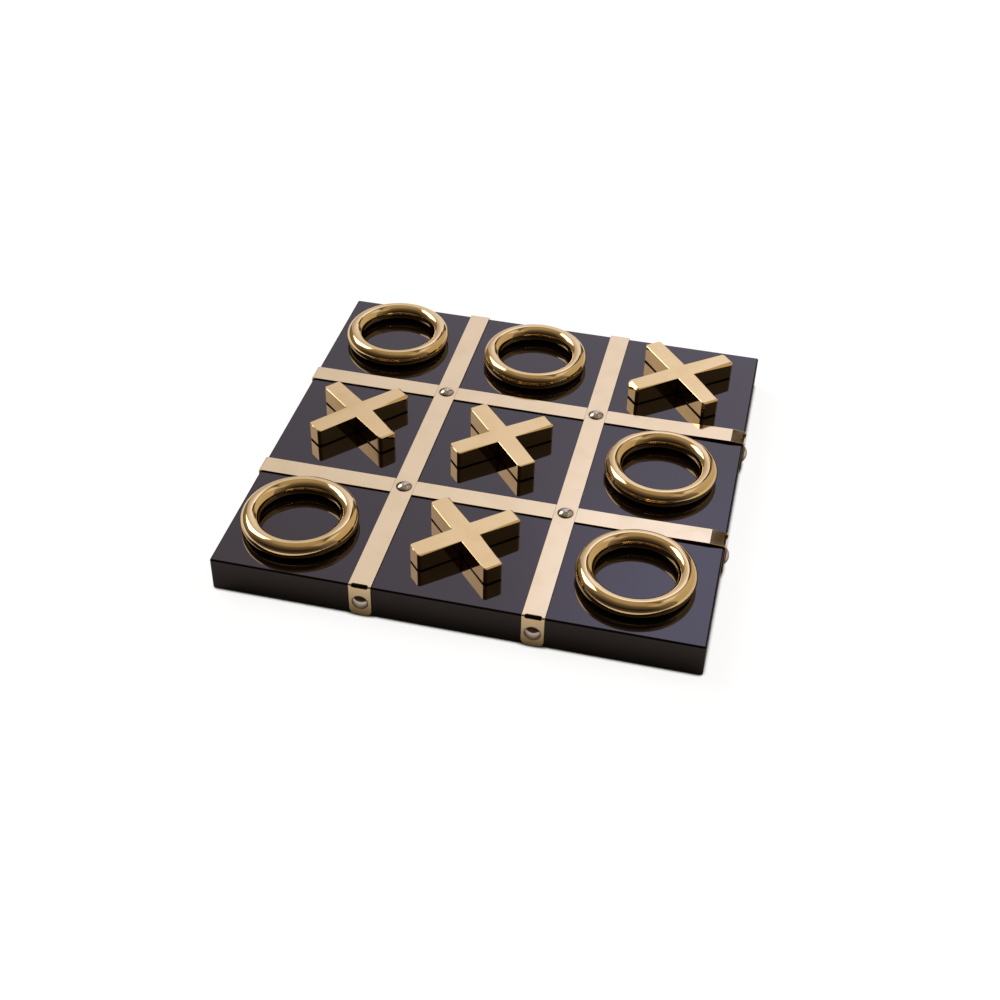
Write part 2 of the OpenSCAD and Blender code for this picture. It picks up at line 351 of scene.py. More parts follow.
paper, tree = new_material("pale paper")
place = put(tree, "ShaderNodeTexCoord").outputs["Object"]
fibres = put(tree, "ShaderNodeTexNoise", {"Vector": place, "Scale": 40.0, "Detail": 4.0}).outputs[0]
paper_white = blend(tree, fibres, (0.78, 0.78, 0.78, 1), (0.82, 0.82, 0.82, 1))
gap_height = 4 * MM
# Painted contact shadow: the camera's white share is taken away where the AO node finds the paper shut in.
openness = put(tree, "ShaderNodeAmbientOcclusion", {"Distance": gap_height}, samples=8).outputs["AO"]
painted_contact_shadow = ramp(tree, openness, 0.4, 0.75)
ray = put(tree, "ShaderNodeLightPath").outputs
# Painted shade: for all but the camera's rays the paper's colour darkens towards the camera, and the painted
# light below fades with it.
depth_of_place = put(tree, "ShaderNodeSeparateXYZ", {0: place}).outputs["Y"]
painted_falloff = ramp(tree, depth_of_place, -0.32, -0.22, 0.1, 1.0)
paper_painted_dark_front = blend(tree, painted_falloff, (0, 0, 0, 1), paper_white)
tint = blend(tree, ray["Is Camera Ray"], paper_painted_dark_front, (0.3, 0.3, 0.32, 1))
matt = put(tree, "ShaderNodeBsdfDiffuse", {"Color": tint, "Roughness": 0.5})
in_gloss = calc(tree, "ADD", ray["Is Glossy Ray"], ray["Is Transmission Ray"])
# Painted light for polished surfaces: brighter to the left, and missing within a few centimetres of the
# board.
to_left = ramp(tree, vector_calc(tree, "DOT_PRODUCT", place, (-0.8, 0.5, 0)), -0.15, 0.4, 0.33, 0.6)
reach = put(tree, "ShaderNodeSeparateXYZ", {0: vector_calc(tree, "ABSOLUTE", place)}).outputs
farthest = calc(tree, "MAXIMUM", reach["X"], reach["Y"])
shadow_reach = 45 * MM
clear_of_board = ramp(tree, farthest, half_x, half_x + shadow_reach)
painted_bounce_light = calc(tree, "MULTIPLY", calc(tree, "MULTIPLY", in_gloss, to_left), clear_of_board)
painted_bounce_light = calc(tree, "MULTIPLY", painted_bounce_light, painted_falloff)
shown = calc(tree, "MULTIPLY", calc(tree, "MULTIPLY", ray["Is Camera Ray"], 0.9), painted_contact_shadow)
share = calc(tree, "ADD", shown, painted_bounce_light)
glow = blend(tree, ray["Is Camera Ray"], (1.0, 0.9, 0.95, 1), (1, 1, 1, 1))
white = put(tree, "ShaderNodeEmission", {"Color": glow, "Strength": share})
both = put(tree, "ShaderNodeAddShader", {0: matt.outputs[0], 1: white.outputs[0]})
put(tree, "ShaderNodeOutputMaterial", {"Surface": both.outputs[0]})
print(paper.name, "has", len(tree.nodes), "nodes")

# %% [markdown]
# The sheet itself is a flat grid, many times wider than the board, so that no edge of it shows.

# %% Lay the floor
floor_size = 6
floor_mesh = bpy.data.meshes.new("floor")
floor_bm = bmesh.new()
bmesh.ops.create_grid(floor_bm, x_segments=8, y_segments=8, size=floor_size)
floor_bm.to_mesh(floor_mesh)
floor_bm.free()
floor_mesh.materials.append(paper)
floor = bpy.data.objects.new("floor", floor_mesh)
bpy.context.scene.collection.objects.link(floor)
print("floor reaches", floor_size, "m from the board")

# %% [markdown]
# ## Shared surface effects
#
# Hand finishing leaves the same few traces on every material here, only stronger or weaker. Each
# trace is a group with its own inputs, built once. A group puts out masks and heights only. What
# they mean, a colour, a roughness or a bump, is decided in each material.
#
# The first group is **hand polish**: the height of the slow ripples that a polishing wheel
# leaves, and of the fine grain that its paste leaves on them. Each is a noise with the size of
# its swells as an input, because a size in metres is easier to judge than a noise's scale.

# %% Build the polish group
polish_group, given, result = new_group(
    "hand polish",
    [
        ("Position", VECTOR, None),
        ("Ripple Size", FLOAT, 8 * MM),
        ("Ripple Height", FLOAT, 0.01),
        ("Grain Size", FLOAT, 1.5 * MM),
        ("Grain Height", FLOAT, 0.001),
    ],
    [("Height", FLOAT)],
)
heights = []
for size, depth, detail in (("Ripple Size", "Ripple Height", 1.0), ("Grain Size", "Grain Height", 2.0)):
    scale = calc(polish_group, "DIVIDE", 1.0, given[size])
    sockets = {"Vector": given["Position"], "Scale": scale, "Detail": detail}
    swell = put(polish_group, "ShaderNodeTexNoise", sockets).outputs[0]
    heights.append(calc(polish_group, "MULTIPLY", calc(polish_group, "SUBTRACT", swell, 0.5), given[depth]))
feed(polish_group, result.inputs["Height"], calc(polish_group, "ADD", *heights))
print(polish_group.name, "has", len(polish_group.nodes), "nodes")

# %% [markdown]
# **Clouds** gives soft patches, for tarnish on brass or haze on lacquer. A noise has its middle
# value almost everywhere, so a ramp picks out its higher parts. Cover moves that ramp: at 0.5
# about half the surface is patchy.

# %% Build the cloud group
cloud_group, given, result = new_group(
    "clouds",
    [("Position", VECTOR, None), ("Size", FLOAT, 20 * MM), ("Cover", FLOAT, 0.5), ("Softness", FLOAT, 0.2)],
    [("Mask", FLOAT)],
)
scale = calc(cloud_group, "DIVIDE", 1.0, given["Size"])
sockets = {"Vector": given["Position"], "Scale": scale, "Detail": 5.0, "Roughness": 0.6}
drift = put(cloud_group, "ShaderNodeTexNoise", sockets).outputs[0]
edge = calc(cloud_group, "SUBTRACT", 1.0, given["Cover"])
start = calc(cloud_group, "SUBTRACT", edge, given["Softness"])
stop = calc(cloud_group, "ADD", edge, given["Softness"])
feed(cloud_group, result.inputs["Mask"], ramp(cloud_group, drift, start, stop))
print(cloud_group.name, "has", len(cloud_group.nodes), "nodes")

# %% [markdown]
# **Hairlines** gives fine scratches that run one way. It is a noise too, but the place is turned
# and then squeezed along one axis before it goes in, which pulls each lump out into a streak
# fifty times as long as it is wide.

# %% Build the hairline group
hairline_group, given, result = new_group(
    "hairlines",
    [("Position", VECTOR, None), ("Turn", FLOAT, 0.0), ("Spacing", FLOAT, 0.6 * MM), ("Cover", FLOAT, 0.3)],
    [("Mask", FLOAT)],
)
turn = put(hairline_group, "ShaderNodeCombineXYZ", {"Z": given["Turn"]}).outputs[0]
turned = put(hairline_group, "ShaderNodeMapping", {"Vector": given["Position"], "Rotation": turn}).outputs[0]
stretched = vector_calc(hairline_group, "MULTIPLY", turned, (0.02, 1.0, 1.0))
scale = calc(hairline_group, "DIVIDE", 1.0, given["Spacing"])
sockets = {"Vector": stretched, "Scale": scale, "Detail": 3.0}
streaks = put(hairline_group, "ShaderNodeTexNoise", sockets).outputs[0]
edge = calc(hairline_group, "SUBTRACT", 0.75, calc(hairline_group, "MULTIPLY", given["Cover"], 0.3))
stop = calc(hairline_group, "ADD", edge, 0.1)
feed(hairline_group, result.inputs["Mask"], ramp(hairline_group, streaks, edge, stop))
print(hairline_group.name, "has", len(hairline_group.nodes), "nodes")

# %% [markdown]
# **Specks** gives scattered dust and lint. A Voronoi texture puts one point in each cell, and
# only the places that lie close to a point are let through.

# %% Build the speck group
speck_group, given, result = new_group(
    "specks",
    [("Position", VECTOR, None), ("Spacing", FLOAT, 8 * MM), ("Size", FLOAT, 0.02)],
    [("Mask", FLOAT)],
)
scale = calc(speck_group, "DIVIDE", 1.0, given["Spacing"])
cells = put(speck_group, "ShaderNodeTexVoronoi", {"Vector": given["Position"], "Scale": scale})
small = calc(speck_group, "MULTIPLY", given["Size"], 0.6)
feed(speck_group, result.inputs["Mask"], ramp(speck_group, cells.outputs["Distance"], given["Size"], small))
print("groups:", [g.name for g in bpy.data.node_groups])

# %% [markdown]
# ## Brass
#
# Brass is a metal, so its colour is the colour of its reflections, and Metallic is 1. A warm
# base colour gives the gold, and a second, browner one lies over it as thin tarnish clouds.
# The ripples go into a Bump node: their height is in millimetres, and the node's Distance of
# one millimetre turns it into the real depth. A few hundredths are enough to bend a highlight.
#
# Shade is painted into every corner as dark brown. An Ambient Occlusion node finds those corners:
# its value drops where something stands within two millimetres. This painted shade draws the
# thin dark line round each rivet.
#
# The straps are rolled sheet, a paler alloy with long, flat ripples. The playing pieces are
# cast and buffed by hand: they are more golden and brighter, and their ripples are short.

# %% Mix the brass
def brass(name, bright, dull, roughness, ripple_size, ripple, hair_turn):
    """Polished brass with tarnish clouds, hand-polish ripples and hairlines."""
    material, tree = new_material(name)
    place = put(tree, "ShaderNodeTexCoord").outputs["Object"]
    tarnish = use(tree, cloud_group, Position=place, Size=22 * MM, Cover=0.42, Softness=0.22)["Mask"]
    hairlines = use(tree, hairline_group, Position=place, Turn=hair_turn, Spacing=0.5 * MM,
                    Cover=0.35)["Mask"]
    polish = use(tree, polish_group, Position=place, Ripple_Size=ripple_size, Ripple_Height=ripple,
                 Grain_Size=1.1 * MM, Grain_Height=ripple * 0.07)["Height"]
    scratch_depth = 0.0004
    depth = calc(tree, "SUBTRACT", polish, calc(tree, "MULTIPLY", hairlines, scratch_depth))
    bump = put(tree, "ShaderNodeBump", {"Height": depth, "Distance": MM, "Strength": 1.0})
    # Painted shade: the base colour turns dark brown where the AO node finds a surface close by.
    corner_shade_reach = 2 * MM
    openness = put(tree, "ShaderNodeAmbientOcclusion", {"Distance": corner_shade_reach}, samples=6).outputs["AO"]
    painted_corner_shade = ramp(tree, openness, 0.92, 0.64)
    satin = calc(tree, "ADD", ramp(tree, tarnish, 0.0, 1.0, roughness, roughness * 1.6),
                 calc(tree, "MULTIPLY", hairlines, 0.03))
    metal = blend(tree, tarnish, (*bright, 1), (*dull, 1))
    surface = put(tree, "ShaderNodeBsdfPrincipled", {
        "Base Color": blend(tree, painted_corner_shade, metal, (0.09, 0.05, 0.025, 1)),
        "Metallic": 1.0,
        "Roughness": satin,
        "Normal": bump.outputs[0],
    })
    put(tree, "ShaderNodeOutputMaterial", {"Surface": surface.outputs[0]})
    print(name, "has", len(tree.nodes), "nodes")
    return material


strap_brass = brass("strap brass", (0.78, 0.635, 0.39), (0.73, 0.585, 0.34), 0.10, 30 * MM, 0.02, 0.0)
piece_brass = brass("piece brass", (0.75, 0.57, 0.29), (0.69, 0.505, 0.235), 0.055, 9 * MM, 0.016, 0.7)

# %% [markdown]
# The rivets are nickel: a paler, greyer metal. They are set with a hammer, so their domes get
# a livelier bump than anything else on the board. The same painted shade lies round their rims,
# and here the node looks further, so that it also finds the low edge of a dome.

# %% Mix the nickel
nickel, tree = new_material("rivet nickel")
place = put(tree, "ShaderNodeTexCoord").outputs["Object"]
dull = use(tree, cloud_group, Position=place, Size=3 * MM, Cover=0.4, Softness=0.2)["Mask"]
dents = use(tree, polish_group, Position=place, Ripple_Size=4 * MM, Ripple_Height=0.03,
            Grain_Size=0.8 * MM, Grain_Height=0.001)["Height"]
bump = put(tree, "ShaderNodeBump", {"Height": dents, "Distance": MM, "Strength": 1.0})
# Painted shade: the base colour turns dark where the AO node finds the strap or the rim close by.
corner_shade_reach = 4 * MM
openness = put(tree, "ShaderNodeAmbientOcclusion", {"Distance": corner_shade_reach}, samples=16).outputs["AO"]
painted_corner_shade = ramp(tree, openness, 0.95, 0.86)
metal = blend(tree, dull, (0.52, 0.47, 0.40, 1), (0.40, 0.35, 0.28, 1))
surface = put(tree, "ShaderNodeBsdfPrincipled", {
    "Base Color": blend(tree, painted_corner_shade, metal, (0.05, 0.035, 0.025, 1)),
    "Metallic": 1.0,
    "Roughness": ramp(tree, dull, 0.0, 1.0, 0.1, 0.18),
    "Normal": bump.outputs[0],
})
put(tree, "ShaderNodeOutputMaterial", {"Surface": surface.outputs[0]})
print(nickel.name, "has", len(tree.nodes), "nodes")

# %% [markdown]
# ## Black lacquer
#
# Lacquer is no metal. It is a nearly black base under a clear, hard, polished film, and only the
# film's reflection is seen: about 8 percent of the light at this angle. That is the job of the
# shader's specular layer, with an IOR of 1.6 for the dense film. The faint waves of a sprayed
# and rubbed surface, the haze of old wax, swirl marks and a little dust keep it from looking
# like black glass.
#
# Only the top was rubbed to a full gloss. On the sides the film is as sprayed and mirrors much
# less, and on the rounded edges, where the block sands through to the base, it is thinnest. The
# upright part of the surface normal tells the three apart and sets Specular IOR Level.

# %% Mix the lacquer
lacquer, tree = new_material("black lacquer")
place = put(tree, "ShaderNodeTexCoord").outputs["Object"]
haze = use(tree, cloud_group, Position=place, Size=45 * MM, Cover=0.45, Softness=0.25)["Mask"]
swirls = use(tree, hairline_group, Position=place, Turn=0.9, Spacing=0.7 * MM, Cover=0.2)["Mask"]
dust = use(tree, speck_group, Position=place, Spacing=11 * MM, Size=0.018)["Mask"]
waves = use(tree, polish_group, Position=place, Ripple_Size=18 * MM, Ripple_Height=0.006,
            Grain_Size=1.6 * MM, Grain_Height=0.0004)["Height"]
bump = put(tree, "ShaderNodeBump", {"Height": waves, "Distance": MM, "Strength": 1.0})
satin = calc(tree, "ADD", ramp(tree, haze, 0.0, 1.0, 0.025, 0.05), calc(tree, "MULTIPLY", swirls, 0.02))
normal = put(tree, "ShaderNodeNewGeometry").outputs["Normal"]
upright = calc(tree, "ABSOLUTE", put(tree, "ShaderNodeSeparateXYZ", {0: normal}).outputs["Z"])
top_film = ramp(tree, upright, 0.98, 0.999, 0.06, 0.5)
side_film = ramp(tree, upright, 0.15, 0.03, 0.0, 0.205)
film = calc(tree, "ADD", top_film, side_film)
surface = put(tree, "ShaderNodeBsdfPrincipled", {
    "Base Color": blend(tree, dust, (0.0055, 0.0034, 0.0028, 1), (0.05, 0.05, 0.05, 1)),
    "Roughness": satin,
    "IOR": 1.6,
    "Specular IOR Level": film,
    "Specular Tint": (1.0, 0.9, 0.93, 1),
    "Normal": bump.outputs[0],
})
put(tree, "ShaderNodeOutputMaterial", {"Surface": surface.outputs[0]})
print(lacquer.name, "has", len(tree.nodes), "nodes")

# %% [markdown]
# ## Felt
#
# The underside carries a sheet of black felt, so that the board doesn't scratch a table. Felt is
# matted fibre: two scales of noise make its lumps and its fluff, and a little sheen catches the
# light along its edge.

# %% Mix the felt
felt, tree = new_material("black felt")
place = put(tree, "ShaderNodeTexCoord").outputs["Object"]
fluff = put(tree, "ShaderNodeTexNoise", {"Vector": place, "Scale": 2200.0, "Detail": 6.0}).outputs[0]
mats = use(tree, cloud_group, Position=place, Size=6 * MM, Cover=0.5, Softness=0.3)["Mask"]
lint = use(tree, speck_group, Position=place, Spacing=9 * MM, Size=0.03)["Mask"]
bump = put(tree, "ShaderNodeBump", {"Height": fluff, "Distance": 0.25 * MM, "Strength": 0.8})
fibre = blend(tree, mats, (0.012, 0.012, 0.013, 1), (0.028, 0.028, 0.03, 1))
surface = put(tree, "ShaderNodeBsdfPrincipled", {
    "Base Color": blend(tree, lint, fibre, (0.12, 0.12, 0.12, 1)),
    "Roughness": 0.95,
    "Sheen Weight": 0.3,
    "Sheen Roughness": 0.5,
    "Normal": bump.outputs[0],
})
put(tree, "ShaderNodeOutputMaterial", {"Surface": surface.outputs[0]})
print(felt.name, "has", len(tree.nodes), "nodes")

# %% [markdown]
# ## Helpers for shapes
#
# Almost every piece here is a stack of closed outlines: a rivet is a stack of circles, a cross
# is a stack of crosses, and a strap is a row of small rounded rectangles. So one helper joins
# neighbouring outlines with four-sided faces and closes the two ends.
#
# Smooth shading alone would bend the reflection on the big flat faces, because each corner
# shares its normal with the rounding next to it. A Weighted Normal modifier gives the say to
# the largest face, and the flats stay flat right up to their edges.

# %% Write the shape helpers
crease_angle = math.radians(28)


def stack(bm, outlines, closed=False):
    """Joins outlines of equal length with faces, and closes the two ends or joins them too."""
    rows = [[bm.verts.new(p) for p in outline] for outline in outlines]
    count = len(rows[0])
    pairs = list(zip(rows, rows[1:]))
    if closed:
        pairs.append((rows[-1], rows[0]))
    else:
        bm.faces.new(list(reversed(rows[0])))
        bm.faces.new(rows[-1])
    for lower, upper in pairs:
        for i in range(count):
            j = (i + 1) % count
            bm.faces.new((lower[i], lower[j], upper[j], upper[i]))


def finish_piece(name, bm, material, slot, body, *nodes):
    """Turns a bmesh into a smooth-shaded piece that stands for its nodes and rides on a body."""
    bmesh.ops.recalc_face_normals(bm, faces=bm.faces)
    mesh = bpy.data.meshes.new(name)
    bm.to_mesh(mesh)
    bm.free()
    mesh.materials.append(material)
    mesh.shade_smooth()
    mesh.set_sharp_from_angle(angle=crease_angle)
    piece = bpy.data.objects.new(name, mesh)
    bpy.context.scene.collection.objects.link(piece)
    flats = piece.modifiers.new("flat faces stay flat", "WEIGHTED_NORMAL")
    flats.weight = 60
    flats.keep_sharp = True
    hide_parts(*nodes)
    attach(piece, body)
    return piece


def spread(start, length, steps):
    """Even steps from a start over a length, with both ends."""
    return [start + length * i / steps for i in range(steps + 1)]


def arc(centre, radius, start, stop, steps):
    """Points of an arc round a centre, from one angle to another in degrees."""
    angles = [math.radians(a) for a in spread(start, stop - start, steps)]
    return [(centre[0] + radius * math.cos(a), centre[1] + radius * math.sin(a)) for a in angles]


def rounded_foot(low, foot, steps):
    """Pairs of inset and height that round the bottom edge of a stack of outlines."""
    quarter = [math.radians(a) for a in spread(0, 90, steps)]
    return [(foot * (1 - math.sin(a)), low + foot * (1 - math.cos(a))) for a in quarter]


def rounded_top(high, top, steps):
    """Pairs of inset and height that round the top edge of a stack of outlines."""
    quarter = [math.radians(a) for a in spread(0, 90, steps)]
    return [(top * (1 - math.cos(a)), high - top * (1 - math.sin(a))) for a in quarter]


# %% [markdown]
# ## The panel and its felt
#
# The panel is a block of fibreboard with all its edges eased before it was sprayed. Its outline
# is a square with small round corners. Drawn again at each level, a little smaller where the
# edge rolls over, it gives a closed block whose faces are flat and whose edges are round. The
# top edge is rounded most, and shows as a thin dark line round the bright top.

# %% Make the panel
def square_outline(half_x, half_y, corner, inset):
    """Outline of a rectangle with round corners, drawn smaller by an inset."""
    x, y = half_x - corner, half_y - corner
    corners = (((x, -y), -90), ((x, y), 0), ((-x, y), 90), ((-x, -y), 180))
    return [p for centre, start in corners for p in arc(centre, corner - inset, start, start + 90, 6)]


def eased_block(low, high, corner, foot, top):
    """Bmesh of a block between two corners, with round corners and round lower and upper edges."""
    bm = bmesh.new()
    levels = rounded_foot(low.z, foot, 5) + rounded_top(high.z, top, 5)
    outlines = []
    for inset, z in levels:
        outlines.append([(x, y, z) for x, y in square_outline(high.x, high.y, corner, inset)])
    stack(bm, outlines)
    return bm


panel_block = eased_block(panel_low, panel_high, corner=1.4 * MM, foot=0.5 * MM, top=1.15 * MM)
finish_piece("lacquered_panel", panel_block, lacquer, "lacquer", "board", "board_panel")
print("panel is", round(2 * half_x, 4), "m wide")

# %% [markdown]
# The felt is cut a little smaller than the panel and glued under it. It needs the same kind of
# block, only thin, with corners cut round by hand.

# %% Glue the felt
felt_low, felt_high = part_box("base_felt")
felt_block = eased_block(felt_low, felt_high, corner=2 * MM, foot=0.15 * MM, top=0.15 * MM)
finish_piece("felt_pad", felt_block, felt, "felt", "board", "base_felt")
print("felt is", round((felt_high.z - felt_low.z) / MM, 2), "mm thick")

# %% [markdown]
# ## The straps
#
# A strap is made here as a metalworker makes it. First comes the flat blank: a strip of sheet
# brass with eased edges and two rounded ends. Then the slots that ease the folds are punched,
# and the half-laps are cut where the straps cross. Last, the blank is folded over the panel.
#
# The blank is drawn in its own coordinates, `along` the strip, `across` it and `up` through the
# sheet. Every point stays at its place along the strip when it is folded, so cutting first and
# bending after is also the simplest way in code: the cutters are plain upright blocks.

# %% Sizes of the straps
edge_round = 0.15 * MM
fold_inside = 0.3 * MM
fold_mean = fold_inside + strap_t / 2
fold_length = math.pi / 2 * fold_mean
tip_round = 4.6 * MM
tip_height = 0.6 * MM
slot_long = 10.6 * MM
slot_wide = 2.9 * MM
slot_drop = 2 * MM
lap_gap = 0.12 * MM
crossing_round = 0.06 * MM
crossing_margin = 0.3 * MM
support_gap = 0.2 * MM
least_step = 0.02 * MM
under_sheet = -2 * strap_t
over_sheet = 3 * strap_t
hang = panel_top - fold_inside - tip_height


def strap_sizes(half):
    """Where the fold starts and where the blank ends, measured along the strip from its middle."""
    fold_start = half - fold_inside
    return fold_start, fold_start + fold_length + hang


print("a row's blank is", round(2 * strap_sizes(half_x)[1] / MM, 1), "mm long")

# %% [markdown]
# The strip is a row of cross-sections. They stand close together where the strip will bend and
# where its ends are rounded, and far apart where it stays straight. `stations` finds their
# places: round each tip, down the side, over the fold, along the top, at each droop and on both
# sides of each crossing. Two places that nearly meet would pinch a face, so one of them goes.

# %% Draw the blank
def section(half_w, thick, edge):
    """Cross-section of the strip: flat below, its two upper edges rounded, as (across, up) pairs."""
    right = arc((half_w - edge, thick - edge), edge, 0, 90, 4)
    left = arc((edge - half_w, thick - edge), edge, 90, 180, 4)
    support = edge + support_gap
    shares = spread(0, 1, 6)
    top = [(half_w - support - (2 * half_w - 2 * support) * s, thick) for s in shares]
    bottom = [(half_w * (2 * s - 1), 0) for s in shares]
    return bottom + right + top + left


def stations(half, bends, crossings):
    """Places along the strip where a cross-section stands."""
    fold_start, end = strap_sizes(half)
    round_tip = [end - tip_round * (1 - math.cos(math.radians(a))) for a in spread(0, 90, 12)]
    down_side = spread(end - tip_round, tip_round - hang, 6)
    over_fold = spread(fold_start, fold_length, 14)
    along_top = spread(0, fold_start, 34)
    places = {side * s for side in (-1, 1) for s in round_tip + down_side + over_fold + along_top}
    for start, length, _ in bends:
        places |= {start + length * i / 5 for i in range(-1, 7)}
    for line in crossings:
        places |= {line + side * (strap_w / 2 + d * MM) for side in (-1, 1) for d in (0.0, 0.25, 0.5)}
    ordered = sorted(places)
    return [s for s, following in zip(ordered, ordered[1:] + [1.0]) if following - s > least_step]


def draw_blank(half, bends, crossings, crossing_edge):
    """Bmesh of the flat strip, with its sections in the plane across the strip."""
    _, end = strap_sizes(half)
    sections = []
    for s in stations(half, bends, crossings):
        from_tip = end - abs(s)
        half_w = strap_w / 2
        if from_tip < tip_round:
            half_w -= tip_round - math.sqrt(max(tip_round ** 2 - (tip_round - from_tip) ** 2, 0))
        edge = edge_round
        if any(abs(s - line) < strap_w / 2 + crossing_margin for line in crossings):
            edge = crossing_edge
        thick = strap_t
        if from_tip < edge:
            thick -= edge - math.sqrt(max(edge ** 2 - (edge - from_tip) ** 2, 0))
            edge = max(edge - (strap_t - thick), least_step)
        sections.append([(s, across, up) for across, up in section(half_w, thick, edge)])
    bm = bmesh.new()
    stack(bm, sections)
    return bm


print("a column's blank has", len(stations(half_y, (), row_lines)), "cross-sections")

# %% [markdown]
# A cutter is a block that stands right through the strip. All the cutters of one strap go into
# one mesh, and a single Boolean modifier takes them out. Its result is read back at once, so
# that the folding can work on plain vertices. At the far end of each strap, at the back or on
# the left, the slot was punched two millimetres further out: there the fold stays whole, and
# the slot lies just below it.

# %% Cut the slots and the half-laps
def cutters(half, crossings, lap_low, lap_high, far_side):
    """Bmesh with a slot for each fold and a block for each half-lap."""
    bm = bmesh.new()
    fold_start, _ = strap_sizes(half)
    straight = slot_long / 2 - slot_wide / 2
    slot = arc((0, straight), slot_wide / 2, 0, 180, 12)
    slot += arc((0, -straight), slot_wide / 2, 180, 360, 12)
    for side in (-1, 1):
        middle = side * (fold_start + fold_length / 2 + (slot_drop if side == far_side else 0))
        stack(bm, [[(middle + x, y, z) for x, y in slot] for z in (under_sheet, over_sheet)])
    for line in crossings:
        reach = strap_w / 2 + lap_gap
        wide = strap_w
        corners = [(line - reach, -wide), (line + reach, -wide), (line + reach, wide), (line - reach, wide)]
        stack(bm, [[(x, y, z) for x, y in corners] for z in (lap_low, lap_high)])
    bmesh.ops.recalc_face_normals(bm, faces=bm.faces)
    return bm


def cut(blank, tools):
    """Takes the cutters out of a blank and returns what is left as a bmesh."""
    objects = []
    for name, bm in (("blank", blank), ("cutters", tools)):
        bmesh.ops.recalc_face_normals(bm, faces=bm.faces)
        mesh = bpy.data.meshes.new(name)
        bm.to_mesh(mesh)
        bm.free()
        objects.append(bpy.data.objects.new(name, mesh))
        bpy.context.scene.collection.objects.link(objects[-1])
    strip, tool = objects
    boolean = strip.modifiers.new("cut", "BOOLEAN")
    boolean.operation = "DIFFERENCE"
    boolean.solver = "EXACT"
    boolean.object = tool
    evaluated = strip.evaluated_get(bpy.context.evaluated_depsgraph_get())
    left = bmesh.new()
    left.from_mesh(evaluated.to_mesh())
    evaluated.to_mesh_clear()
    for used in objects:
        mesh = used.data
        bpy.data.objects.remove(used)
        bpy.data.meshes.remove(mesh)
    return left


print("slots are", round(slot_long / MM, 1), "x", round(slot_wide / MM, 1), "mm")

# %% [markdown]
# Folding follows the middle of the sheet, which neither stretches nor shrinks. A list of bends
# says where each starts, how long it is and through how many degrees it turns. Walking along
# the strip in small steps adds up the turns, and gives the place and the slope at every point.
# A bend of a few degrees near an end is the droop that a mallet leaves beside a fold.

# %% Fold the strap
def walk(bends, end):
    """Table of (distance, place, height, slope) along half a strip, for a strip folded by its bends."""
    step = 0.05 * MM
    table, place, height = [], 0.0, 0.0
    for i in range(int(end / step) + 2):
        distance = i * step
        slope = sum(turn * min(max((distance - start) / length, 0), 1) for start, length, turn in bends)
        table.append((distance, place, height, slope))
        place += step * math.cos(math.radians(slope))
        height -= step * math.sin(math.radians(slope))
    return step, table


def fold(bm, half, right_bends, left_bends):
    """Folds a cut blank: its points turn from (along, across, up) to their places on the panel."""
    _, end = strap_sizes(half)
    tables = {1: walk(right_bends, end), -1: walk(left_bends, end)}
    for vertex in bm.verts:
        along, across, up = vertex.co
        side = 1 if along >= 0 else -1
        step, table = tables[side]
        whole = abs(along) / step
        index = int(whole)
        first, second = table[index], table[index + 1]
        share = whole - index
        place, height, slope = (first[i] + (second[i] - first[i]) * share for i in (1, 2, 3))
        angle = math.radians(slope)
        out = up - strap_t / 2
        along_panel = side * (place + out * math.sin(angle))
        above_panel = strap_t / 2 + height + out * math.cos(angle)
        vertex.co = (along_panel, across, above_panel)


print("a fold takes", round(fold_length / MM, 2), "mm of the strip")

# %% [markdown]
# The rows are cut from above at the crossings and the columns from below, so that all four
# lie level. The right-hand end of each row was dressed down with a mallet before it was folded,
# and its last centimetre slopes a little: that is its droop, a list of slight bends.

# %% Lay the four straps
def strap(name, node, half, line, turned, crossings, lap, droop=()):
    """One finished strap, lying along X or, turned, along Y. It droops at its right end only."""
    fold_start, _ = strap_sizes(half)
    drooped = sum(turn for _, _, turn in droop)
    right_bends = [*droop, (fold_start, fold_length, 90 - drooped)]
    left_bends = [(fold_start, fold_length, 90)]
    blank = draw_blank(half, droop, crossings, crossing_round if turned else edge_round)
    bm = cut(blank, cutters(half, crossings, *lap, far_side=1 if turned else -1))
    fold(bm, half, right_bends, left_bends)
    move = Matrix.Translation((0, line, panel_top))
    if turned:
        move = Matrix.Translation((line, 0, panel_top)) @ Matrix.Rotation(math.radians(90), 4, "Z")
    bm.transform(move)
    made = finish_piece(name, bm, strap_brass, "strap_brass", "board", node)
    print(name, "has", len(made.data.polygons), "faces")


lap_clearance = 0.01 * MM
row_lap = (strap_t / 2, over_sheet)
column_lap = (under_sheet, strap_t / 2 - lap_clearance)
for name, line, crease in (("front", row_lines[0], 142.7 * MM), ("back", row_lines[1], 143.6 * MM)):
    # Each bend: where it starts, how long it is, and by how many degrees it turns down.
    droop = [(82 * MM, 4 * MM, -0.8), (crease, 0.4 * MM, 6.3)]
    strap(f"row_strip_{name}", f"row_strap_{name}", half_x, line, False, column_lines, row_lap, droop)
for name, line in zip(("left", "right"), column_lines):
    strap(f"column_strip_{name}", f"column_strap_{name}", half_y, line, True, row_lines, column_lap)

# %% [markdown]
# ## The rivets
#
# A rivet is turned: its outline goes once round an axis. The head has a short upright rim under
# a shallow cap, which is a piece of a sphere, and a shank goes into the panel. The cap's radius
# follows from how wide and how high it is. No two hammered heads are alike, so each one is
# pushed in a little by a smooth noise, which moves with its place on the board.

# %% Set the rivets
head_round = 4.95 * MM
head_high = 2.4 * MM
head_rim = 0.4 * MM
shank_round = 1.6 * MM
shank_deep = 9 * MM
dent = 0.05 * MM
dents_per_metre = 260
dent_shift = 900
rivet_sides = 40
cap_rings = 14


